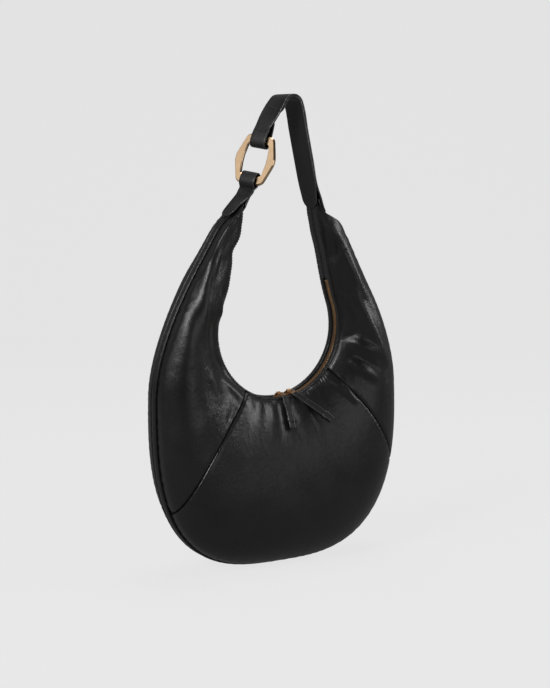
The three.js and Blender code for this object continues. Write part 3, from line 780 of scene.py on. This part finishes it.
def even_places(points, pitch):
    """Places at an even pitch along a polyline, with the direction at each."""
    steps = np.linalg.norm(np.diff(points, axis=0), axis=1)
    run = np.concatenate([[0], np.cumsum(steps)])
    count = max(int(run[-1] / pitch), 1)
    want = (np.arange(count) + 0.5) * run[-1] / count
    at = np.stack([np.interp(want, run, points[:, k]) for k in range(3)], axis=-1)
    ahead = np.stack([np.interp(want + pitch / 4, run, points[:, k]) for k in range(3)], axis=-1)
    behind = np.stack([np.interp(want - pitch / 4, run, points[:, k]) for k in range(3)], axis=-1)
    return at, unit(ahead - behind), want / run[-1]


def stitch_row(name, rows, **where):
    """Short threads that dip into the leather at both ends. A row is (points, normals)."""
    points, faces = [], []
    bends = np.array([-0.5, -0.36, 0.0, 0.36, 0.5])
    rise = np.array([-0.9, 0.25, 0.7, 0.25, -0.9]) * THREAD_RADIUS
    fat = np.array([0.45, 0.9, 1.0, 0.9, 0.45]) * THREAD_RADIUS
    corners = np.linspace(0, 2 * math.pi, 6, endpoint=False)
    for line, normals in rows:
        at, along, share = even_places(line, STITCH_PITCH)
        source = np.linspace(0, 1, len(normals))
        up = unit(np.stack([np.interp(share, source, normals[:, k]) for k in range(3)], axis=-1))
        over = unit(np.cross(up, along))
        for i in range(len(at)):
            first = len(points)
            for bend, lift, radius in zip(bends, rise, fat):
                middle = at[i] + along[i] * bend * STITCH_LENGTH + up[i] * lift
                for corner in corners:
                    points.append(middle + radius * (over[i] * math.cos(corner) + up[i] * math.sin(corner)))
            faces += [tuple(first + k for k in f) for f in loft_faces(len(bends), len(corners))]
    return new_piece(name, points, faces, THREAD, **where)


def facing_stitches(face, side):
    rows = []
    t = np.linspace(-0.97, 0.97, 500)
    at, _, into = edge_frames("inner", t)
    for y in (slot_edge(t) + 1.6 * MM, np.full_like(t, FACING_HALF - 1.5 * MM)):
        flat = at - into * 0.35 * MM
        line = np.stack([flat[:, 0], side * y, flat[:, 1]], axis=-1)
        normals = np.stack([-into[:, 0], np.zeros_like(t), -into[:, 1]], axis=-1)
        rows.append((line, normals))
    stitch_row(f"{face}_facing_stitches", rows, body="body", slot="trim_leather")


# ---------------------------------------------------------------- zip

TOOTH_PITCH = 2.3 * MM
TOOTH_WIDTH = 1.25 * MM
TOOTH_HALF_HEIGHT = 1.25 * MM


def zip_shares(count, inset=0.0):
    return np.linspace(-ZIP_SHARE[-1] + inset, ZIP_SHARE[1] - inset, count)


def zip_tape(face, side):
    t = zip_shares(300)

    def section(i):
        return strip_section(side * 2.2 * MM, side * (FACING_HALF - 0.4 * MM),
                             CHAIN_DEPTH - 0.35 * MM, 0.7 * MM, columns=8)

    edge_piece(f"{face}_zip_tape_weave", f"zip_tape_{face}", "inner", t, section, ZIP_TAPE, "zip_tape")


def zip_teeth(face, side):
    """Separate teeth clamped on a tape's edge, set half a pitch from the other side's."""
    fine = zip_shares(3000, 0.008)
    flat = edge("inner", fine)
    run = np.concatenate([[0], np.cumsum(np.linalg.norm(np.diff(flat, axis=0), axis=1))])
    places = np.arange(TOOTH_PITCH * (0.5 if side < 0 else 1.0), run[-1], TOOTH_PITCH)
    at, along, into = edge_frames("inner", np.interp(places, run, fine))
    points, faces = [], []
    # Y of each section, its half width along the zip and its half height
    sections = ((-0.75, 0.25, 0.5), (-0.5, 0.42, 0.85), (0.6, 0.42, 0.9), (1.1, 0.5, 1.0),
                (2.9, 0.5, 1.0), (3.1, 0.42, 0.85))
    chamfer = 0.72
    ring = np.array([(1, chamfer), (chamfer, 1), (-chamfer, 1), (-1, chamfer),
                     (-1, -chamfer), (-chamfer, -1), (chamfer, -1), (1, -chamfer)])
    for i in range(len(places)):
        first = len(points)
        for y, wide, tall in sections:
            for a, b in ring:
                place = at[i] + along[i] * a * wide * TOOTH_WIDTH \
                    + into[i] * (CHAIN_DEPTH + b * tall * TOOTH_HALF_HEIGHT)
                points.append((place[0], side * y * MM, place[1]))
        faces += [tuple(first + k for k in f) for f in loft_faces(len(sections), len(ring))]
    piece = new_piece(f"{face}_zip_teeth_row", points, oriented(points, faces), ZIP_METAL,
                      body="body", slot="zip_metal", smooth=False)
    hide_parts(f"zip_teeth_{face}")


# ---------------------------------------------------------------- strips of leather


def smooth_path(points, spacing=1.2 * MM):
    """An evenly stepped curve through points, each of which may carry more than a place."""
    points = np.asarray(points, float)
    run = np.concatenate([[0], np.cumsum(np.linalg.norm(np.diff(points[:, :3], axis=0), axis=1))])
    slope = np.gradient(points, run, axis=0)
    fine = []
    for i in range(len(points) - 1):
        s = np.linspace(0, 1, 24, endpoint=i == len(points) - 2)[:, None]
        length = run[i + 1] - run[i]
        fine.append(points[i] * (1 + 2 * s) * (1 - s) ** 2 + slope[i] * length * s * (1 - s) ** 2
                    + points[i + 1] * s**2 * (3 - 2 * s) - slope[i + 1] * length * s**2 * (1 - s))
    fine = np.concatenate(fine)
    run = np.concatenate([[0], np.cumsum(np.linalg.norm(np.diff(fine[:, :3], axis=0), axis=1))])
    want = np.linspace(0, run[-1], max(int(run[-1] / spacing), 8))
    return np.stack([np.interp(want, run, fine[:, k]) for k in range(fine.shape[1])], axis=-1)


class Strip:
    """A strip of leather along a path whose stations are a place, a vector over it and a half width."""

    def __init__(self, stations):
        path = smooth_path(stations)
        self.at, self.half = path[:, :3], path[:, 6]
        along = unit(np.gradient(self.at, axis=0))
        self.normal = unit(np.cross(along, path[:, 3:6]))
        self.across = unit(np.cross(self.normal, along))
        steps = np.linalg.norm(np.diff(self.at, axis=0), axis=1)
        self.run = np.concatenate([[0], np.cumsum(steps)])
        self.length = self.run[-1]

    def _read(self, values, s):
        return np.stack([np.interp(s, self.run, values[:, k]) for k in range(3)], axis=-1)

    def point(self, s, y, depth):
        """A place from the distance along, the distance across and the depth below the path."""
        s, y = np.asarray(s, float), np.asarray(y, float)
        return self._read(self.at, s) + self._read(self.across, s) * y[..., None] \
            + self._read(self.normal, s) * np.asarray(depth)[..., None]

    def piece(self, name, near, far, rounded=(0, 0), span=None, widen=0.0, **where):
        """The strip between two depths, with painted edges and ends rounded over given lengths.

        A span makes only a part of the strip, from one distance along it to another.
        """
        first, last = span or (0, self.length)
        runs = self.run if span is None else np.linspace(first, last, 10)
        middle, corner = (near + far) / 2, 0.42 * (far - near)
        arc = np.linspace(0, math.pi / 2, 4)[1:-1]
        share = np.linspace(-1, 1, 9)
        loops = []
        for s in runs:
            full = half = float(np.interp(s, self.run, self.half)) + widen
            for length, gone in ((rounded[0], s - first), (rounded[1], last - s)):
                if gone < length:
                    half = min(half, full * math.sqrt(max(1 - (1 - gone / length) ** 2, 0.02)))
            flat = max(half - corner, 0.2 * MM)
            y = [*(share * flat)]
            z = [near] * len(share)
            turn = [(flat + corner * math.sin(a), near + corner - corner * math.cos(a)) for a in arc]
            turn += [(flat + corner, middle)]
            turn += [(flat + corner * math.cos(a), far - corner + corner * math.sin(a)) for a in arc]
            y += [a for a, _ in turn] + [*(-share * flat)] + [-a for a, _ in reversed(turn)]
            z += [b for _, b in turn] + [far] * len(share) + [b for _, b in reversed(turn)]
            loops.append(self.point(np.full(len(y), s), y, z))
        loops = np.array(loops)
        faces = oriented(loops, loft_faces(*loops.shape[:2]))
        piece = new_piece(name, loops, faces, [STRAP_LEATHER, EDGE_PAINT], slot="strap_leather", **where)
        count = loops.shape[1]
        face_columns = len(share) - 1
        side_columns = count // 2 - face_columns
        for polygon in piece.data.polygons:
            columns = sorted({vertex % count for vertex in polygon.vertices})
            if len(columns) > 2:
                polygon.material_index = 1
                continue
            column = columns[1] if columns == [0, count - 1] else columns[0]
            painted = column % (count // 2) >= face_columns
            polygon.material_index = int(painted and side_columns > 0)
        return piece

    def stitches(self, name, lines, depth, up, **where):
        """Rows of stitches on a face of the strip, each line given as (distance along, across)."""
        rows = []
        for line in lines:
            line = np.asarray(line, float)
            fine = smooth_path(np.column_stack([line, np.zeros(len(line))]), 0.8 * MM)
            rows.append((self.point(fine[:, 0], fine[:, 1], np.full(len(fine), depth)),
                         self._read(self.normal, fine[:, 0]) * up))
        return stitch_row(name, rows, slot="strap_leather", **where)


def u_line(start, end, half, open_start=False):
    """A stitch line round the end of a strip, as (distance along, across)."""
    turn = [(end - half * (1 - math.sin(a)), -half * math.cos(a)) for a in np.linspace(0, math.pi, 9)]
    leg = np.linspace(start, end - half, 6)
    line = [(s, -half) for s in leg[:-1]] + turn + [(s, half) for s in leg[-2::-1]]
    return line if open_start else line + [(start, -half)]


def link_matrix():
    """Rotation of the link: X through its opening, Y across it and Z along it."""
    ct, st = math.cos(LINK_TILT), math.sin(LINK_TILT)
    cw, sw = math.cos(LINK_TWIST), math.sin(LINK_TWIST)
    tilt = np.array([[ct, 0, st], [0, 1, 0], [-st, 0, ct]])
    twist = np.array([[cw, -sw, 0], [sw, cw, 0], [0, 0, 1]])
    return tilt @ twist


LINK_TURN = link_matrix()
LINK_ACROSS = LINK_TURN[:, 1]
LEVEL = np.array([0.0, 1.0, 0.0])


def in_link(x, z):
    return LINK_CENTRE + LINK_TURN @ np.array([x, 0, z])


def round_bar(side, reach, returned, slack):
    """The inside of a loop round one of the link's end bars, from the outside to the inside."""
    clear = LINK_THICKNESS / 2 + slack
    middle, end = side * BAR_Z, LINK_BAND / 2 + 0.4 * MM
    turn = [in_link(-clear * math.cos(a), middle - side * (end + clear * 0.6 * math.sin(a)))
            for a in np.linspace(0, math.pi, 7)]
    return [
        in_link(-1.3 * MM, middle + side * reach),
        in_link(-clear, middle + side * (end + 0.5 * MM)),
        *turn,
        in_link(clear, middle + side * (end + 0.5 * MM)),
        in_link(1.3 * MM, middle + side * returned),
    ]


def station(place, across, half):
    return [*place, *unit(np.asarray(across, float)), half]


def beside_edge(which, t, clear):
    """A place beside a horn's edge, level with the middle of the bag."""
    at, _, into = edge_frames(which, np.array([t]))
    flat = at[0] - into[0] * clear
    return np.array([flat[0], 0, flat[1]])


def strap_bend(sign_from, sign_to, start, end):
    """Places round the top bend, between the tangents from two points."""

    def tangent(place, sign):
        away = (place - STRAP_TOP)[[0, 2]]
        return math.atan2(away[1], away[0]) + sign * math.acos(STRAP_TOP_RADIUS / np.linalg.norm(away))

    first, last = tangent(start, sign_from), tangent(end, sign_to) % (2 * math.pi)
    return [STRAP_TOP + STRAP_TOP_RADIUS * np.array([math.cos(a), 0, math.sin(a)])
            for a in np.linspace(first, last, 9)]


def handle_strap():
    """The strap: an outer layer that ends in a loop on the link, and a lining sewn under it."""
    tip = np.array([TIP[1][0], 0, TIP[1][1]])
    leg = unit(STRAP_TOP - tip)
    start = tip + leg * STRAP_START
    loop = round_bar(1, 14 * MM, 26 * MM, 1.4 * MM)
    bend = strap_bend(1, -1, start, loop[0])
    tip_half = 0.8 * STRAP_HALF

    def stations(horn):
        rows = [station(place, LEVEL, half) for place, half in horn]
        rows += [station(start, LEVEL, STRAP_HALF * 0.97)]
        rows += [station(lerp(start, bend[0], share), LEVEL, STRAP_HALF) for share in (0.3, 0.65)]
        rows += [station(place, LEVEL, STRAP_HALF) for place in bend]
        return rows

    def leg_down(last):
        rows = []
        for share in np.linspace(0, 1, 10)[1:-1]:
            if share > last:
                break
            rows.append(station(lerp(bend[-1], loop[0], share), lerp(LEVEL, LINK_ACROSS, share),
                                lerp(STRAP_HALF, LOOP_HALF, share)))
        return rows

    outer_horn = [(beside_edge("outer", t, 0.5 * MM), tip_half) for t in (0.958, 0.97, 0.982, 0.994)]
    loop_rows = [station(place, LINK_ACROSS, LOOP_HALF) for place in loop]
    outer = Strip(stations(outer_horn) + leg_down(1) + loop_rows)
    piece = outer.piece("strap_outer_leather", -STRAP_OUTER, 0, rounded=(9 * MM, 8 * MM))
    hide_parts("strap_outer")

    inner_horn = [(beside_edge("inner", t, 0.5 * MM), tip_half) for t in (0.962, 0.978, 0.992)]
    lining = Strip(stations(inner_horn) + leg_down(0.6))
    under = lining.piece("strap_lining_leather", 0.15 * MM, STRAP_LINING, rounded=(11 * MM, 10 * MM))
    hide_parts("strap_lining")

    top = outer.run[np.argmax(outer.at[:, 2])]
    seam = outer.stitches("strap_loop_stitches", [u_line(top + 22 * MM, top + 50 * MM, 7.5 * MM)],
                          -STRAP_OUTER - STITCH_RISE, -1)
    foot = lining.stitches("strap_foot_stitches", [
        [(12 * MM + 6 * MM * abs(y), -y * 12 * MM) for y in np.linspace(-1, 1, 9)],
    ], STRAP_LINING + STITCH_RISE, 1)
    for one in (piece, under, foot):
        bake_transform(one)
    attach(seam, "handle")


def loop_tab():
    """The tab that clasps the left horn and goes round the link's lower bar."""
    tip_half = 0.66 * STRAP_HALF
    loop = round_bar(-1, 7 * MM, 7 * MM, 0.4 * MM)
    rows = [station(beside_edge("outer", -t, 0.5 * MM), LEVEL, tip_half) for t in (0.962, 0.985)]
    rows += [station(p, LINK_ACROSS, LOOP_HALF) for p in loop]
    rows += [station(beside_edge("inner", -t, 0.5 * MM), LEVEL, tip_half) for t in (0.98, 0.965)]
    tab = Strip(rows)
    piece = tab.piece("loop_tab_leather", 0, LOOP_TAB, rounded=(11 * MM, 11 * MM))
    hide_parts("left_loop_tab")
    line = u_line(0, 24 * MM, 8.5 * MM, open_start=True)
    near = [(26 * MM - s, y) for s, y in line]
    far = [(tab.length - 26 * MM + s, y) for s, y in line]
    seam = tab.stitches("loop_tab_stitches", [near, far], LOOP_TAB + STITCH_RISE, 1)
    for one in (piece, seam):
        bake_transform(one)


def chain_link():
    """A flat polished link: an elongated hexagon with rounded corners and bevelled faces."""

    def outline(inset):
        wide, tall = LINK_HALF_WIDTH - inset, LINK_HALF_LENGTH - inset
        bar = LINK_HALF_WIDTH * LINK_BAR_SHARE - inset * 0.35
        side = LINK_HALF_LENGTH * LINK_SIDE_SHARE
        corners = np.array([(bar, tall), (wide, side), (wide, -side), (bar, -tall),
                            (-bar, -tall), (-wide, -side), (-wide, side), (-bar, tall)])
        points = []
        for i, corner in enumerate(corners):
            start, end = (lerp(corner, corners[k % 8], LINK_CORNER) for k in (i + 7, i + 1))
            for s in np.linspace(0, 1, 9):
                points.append(start * (1 - s) ** 2 + 2 * corner * s * (1 - s) + end * s**2)
        return np.array(points)

    half = LINK_THICKNESS / 2
    section = [(0, half - LINK_BEVEL), (LINK_BEVEL, half), (LINK_BAND - LINK_BEVEL, half),
               (LINK_BAND, half - LINK_BEVEL)]
    section += [(inset, -x) for inset, x in reversed(section)]
    rings = [(outline(inset), x) for inset, x in section]
    loops = [[LINK_CENTRE + LINK_TURN @ np.array([x, *flat[i]]) for flat, x in rings]
             for i in range(len(rings[0][0]))]
    piece = loft("chain_link_metal", loops, LINK_METAL, closed=True, body="link", slot="link_metal")
    piece.data.set_sharp_from_angle(angle=math.radians(25))
    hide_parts("chain_link")


# ---------------------------------------------------------------- zip pulls

TAB_HALF_WIDTH = 3.5 * MM
TAB_HALF_THICKNESS = 0.95 * MM
TAB_CLEARANCE = 3.4 * MM  # of the strip's middle above the smooth front
TAB_END = {"left": (3, 152), "right": (53, 157)}  # X, Z in millimetres of where each strip ends


def front_depths():
    """A function that gives the depth of the front face near a place in XZ."""
    t, v = np.meshgrid(np.linspace(-0.3, 0.4, 281), np.linspace(0, 0.8, 161), indexing="ij")
    points = face_point(-1, t, v).reshape(-1, 3)

    def depth(x, z):
        nearest = np.argmin((points[:, 0] - x) ** 2 + (points[:, 2] - z) ** 2)
        return points[nearest, 1]

    return depth


def pull_tab(end, depth):
    """A soft leather strip that hangs from the puller and lies down along the front."""
    foot = np.array(JOINTS[f"tab_{end}"]["pos_m"])
    tip = np.array([TAB_END[end][0] * MM, 0, TAB_END[end][1] * MM])
    level = unit(np.cross([0, -1.0, 0], unit((tip - foot) * [1, 0, 1])))
    places = [foot + [0, 2 * MM, 0]]
    for share in np.linspace(0, 1, 9)[1:]:
        x, _, z = lerp(foot, tip, share)
        lying = depth(x, z) - TAB_CLEARANCE
        places.append(np.array([x, lerp(foot[1] - 3 * MM, lying, smoothstep(share, 0, 0.45)), z]))
    lean = unit(level + [0, 0.25 if end == "right" else 0, 0])
    strip = Strip([station(place, lean, TAB_HALF_WIDTH * lerp(0.8, 1, min(2 * k / 8, 1)))
                   for k, place in enumerate(places)])
    where = {"body": f"tab_{end}"}
    piece = strip.piece(f"pull_tab_{end}_leather", -TAB_HALF_THICKNESS, TAB_HALF_THICKNESS,
                        rounded=(1.5 * MM, 1.5 * MM), **where)
    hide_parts(f"pull_tab_{end}")
    inset = TAB_HALF_WIDTH - 1.2 * MM
    span = np.linspace(9 * MM, strip.length - 2.5 * MM, 6)
    lines = [[(s, side * inset) for s in span] for side in (-1, 1)]
    for label, up in (("upper", -1), ("lower", 1)):
        strip.stitches(f"pull_tab_{end}_{label}_stitches", lines, up * TAB_HALF_THICKNESS, up, **where)
    strip.piece(f"pull_tab_{end}_keeper", -2 * TAB_HALF_THICKNESS, 2 * TAB_HALF_THICKNESS,
                rounded=(1 * MM, 1 * MM),
                span=(strip.length - 13 * MM, strip.length - 8 * MM), widen=0.9 * MM, **where)


def plated(node):
    """Rounds the edges of a packed metal piece and gives it the zip's metal."""
    obj = frame["nodes"][node]
    obj.data.materials.clear()
    obj.data.materials.append(ZIP_METAL)
    edges = obj.modifiers.new("rounded edges", "BEVEL")
    edges.width = 0.25 * MM
    edges.segments = 2
    edges.limit_method = "ANGLE"


# ---------------------------------------------------------------- lining

LINING_DEPTH = 4 * MM
LINING_REACH = 0.86


def lining_face(face, side):
    """A loose woven lining inside one face."""
    t, v = np.meshgrid(
        np.linspace(-LINING_REACH, LINING_REACH, 140), np.linspace(0.07, 0.93, 44), indexing="ij",
    )
    base = face_point(side, t, v)
    normals = grid_normals(base)
    if (normals[..., 1] * side).mean() < 0:
        normals = -normals
    rng = np.random.default_rng(70 + side)
    slack = np.zeros_like(t)
    for _ in range(9):
        phase = t * rng.uniform(15, 70) + v * rng.uniform(-9, 9) + rng.uniform(0, 6.3)
        slack += 0.12 * MM * np.sin(phase)
    outer = base - normals * (LINING_DEPTH + slack)[..., None]
    piece = grid_shell(f"{face}_lining_cloth", outer, outer - normals * 0.5 * MM, LINING,
                       body="body", slot="lining")
    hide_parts(f"lining_{face}")


def lining_gusset():
    t = np.linspace(-LINING_REACH, LINING_REACH, 240)
    ripple = pucker_height(np.zeros_like(t), t * 560 * MM, 81, pitch=22 * MM, depth=0.3 * MM)

    def section(i):
        return strip_section(-PANEL_OUTER_Y, PANEL_OUTER_Y, LINING_DEPTH + ripple[i], 0.5 * MM)

    edge_piece("gusset_lining_cloth", "lining_gusset", "outer", t, section, LINING, "lining")


# ---------------------------------------------------------------- stage


SEEN_PAPER = 0.745  # brightness of the backdrop to the camera
REFLECTED_PAPER = 0.14  # and in the leather and the metal
VIEW_TURN = math.radians(30)  # of the camera and the backdrop, to the bag's left


def studio():
    """A pale seamless backdrop, soft boxes and the camera."""
    scene = bpy.context.scene
    scene.view_settings.view_transform = "Standard"
    profile = [(-5.0, 0.0), (1.6, 0.0)]
    bend = np.linspace(0.1, math.pi / 2, 12)
    profile += [(1.6 + 1.2 * math.sin(a), 1.2 - 1.2 * math.cos(a)) for a in bend]
    profile += [(2.8, 5.0)]
    ct, st = math.cos(VIEW_TURN), math.sin(VIEW_TURN)
    points = [(x * ct + y * st, y * ct - x * st, z) for x in (-6.0, 6.0) for y, z in profile]
    count = len(profile)
    faces = [(i, count + i, count + i + 1, i + 1) for i in range(count - 1)]
    paper = Nodes("backdrop")
    tree = paper.tree
    seen = paper.add("ShaderNodeLightPath").outputs["Is Camera Ray"]
    glow = paper.add("ShaderNodeEmission", {
        "Color": (1, 1, 1, 1), "Strength": paper.ramp(seen, 0, 1, REFLECTED_PAPER, SEEN_PAPER),
    })
    matt = paper.add("ShaderNodeBsdfDiffuse", {"Color": (0.09, 0.09, 0.09, 1)})
    both = paper.add("ShaderNodeAddShader")
    tree.links.new(glow.outputs[0], both.inputs[0])
    tree.links.new(matt.outputs[0], both.inputs[1])
    tree.links.new(both.outputs[0], tree.nodes["Material Output"].inputs["Surface"])
    floor = new_piece("backdrop", points, faces, paper.material)
    floor.visible_diffuse = False

    world = bpy.data.worlds.new("studio")
    world.use_nodes = True
    world.node_tree.nodes["Background"].inputs["Color"].default_value = (1, 1, 1, 1)
    world.node_tree.nodes["Background"].inputs["Strength"].default_value = 0.05
    scene.world = world

    def soft_box(name, place, target, size, power):
        light = bpy.data.lights.new(name, "AREA")
        light.shape = "RECTANGLE"
        light.size, light.size_y = size
        light.energy = power
        obj = bpy.data.objects.new(name, light)
        obj.location = place
        obj.rotation_euler = (Vector(target) - Vector(place)).to_track_quat("-Z", "Y").to_euler()
        scene.collection.objects.link(obj)

    middle = (0, 0, 0.24)
    soft_box("key", (-2.0, -0.8, 1.6), middle, (0.9, 0.9), 26)
    soft_box("top", (0.3, 0.3, 2.2), middle, (1.2, 0.8), 14)
    soft_box("right", (1.9, -0.9, 1.1), middle, (0.6, 1.2), 12)
    soft_box("link", (-1.9, 0.1, 1.05), (-0.02, 0, 0.44), (1.1, 1.1), 2.6)
    soft_box("front", (0.4, -2.4, 0.7), middle, (1.4, 1.0), 4)

    camera = bpy.data.cameras.new("camera")
    camera.sensor_fit = "VERTICAL"
    camera.sensor_height = 36
    camera.lens = 78.2
    obj = bpy.data.objects.new("camera", camera)
    distance = 1.6
    obj.location = (-distance * math.sin(VIEW_TURN), -distance * math.cos(VIEW_TURN), 0.463)
    aim = Vector((0, 0, 0.24)) - obj.location
    obj.rotation_euler = aim.to_track_quat("-Z", "Y").to_euler()
    scene.collection.objects.link(obj)
    scene.camera = obj


for face, side in (("front", -1), ("back", 1)):
    leather_face(side, face)
    piping_cord(face, side)
    facing_strip(face, side)
    facing_stitches(face, side)
    zip_tape(face, side)
    zip_teeth(face, side)
    lining_face(face, side)
gusset_strip()
lining_gusset()
handle_strap()
loop_tab()
chain_link()
front_depth = front_depths()
for end in ("left", "right"):
    pull_tab(end, front_depth)
    plated(f"zip_slider_{end}")
    plated(f"zip_puller_{end}")
    plated(f"zip_stop_{end}")
studio()
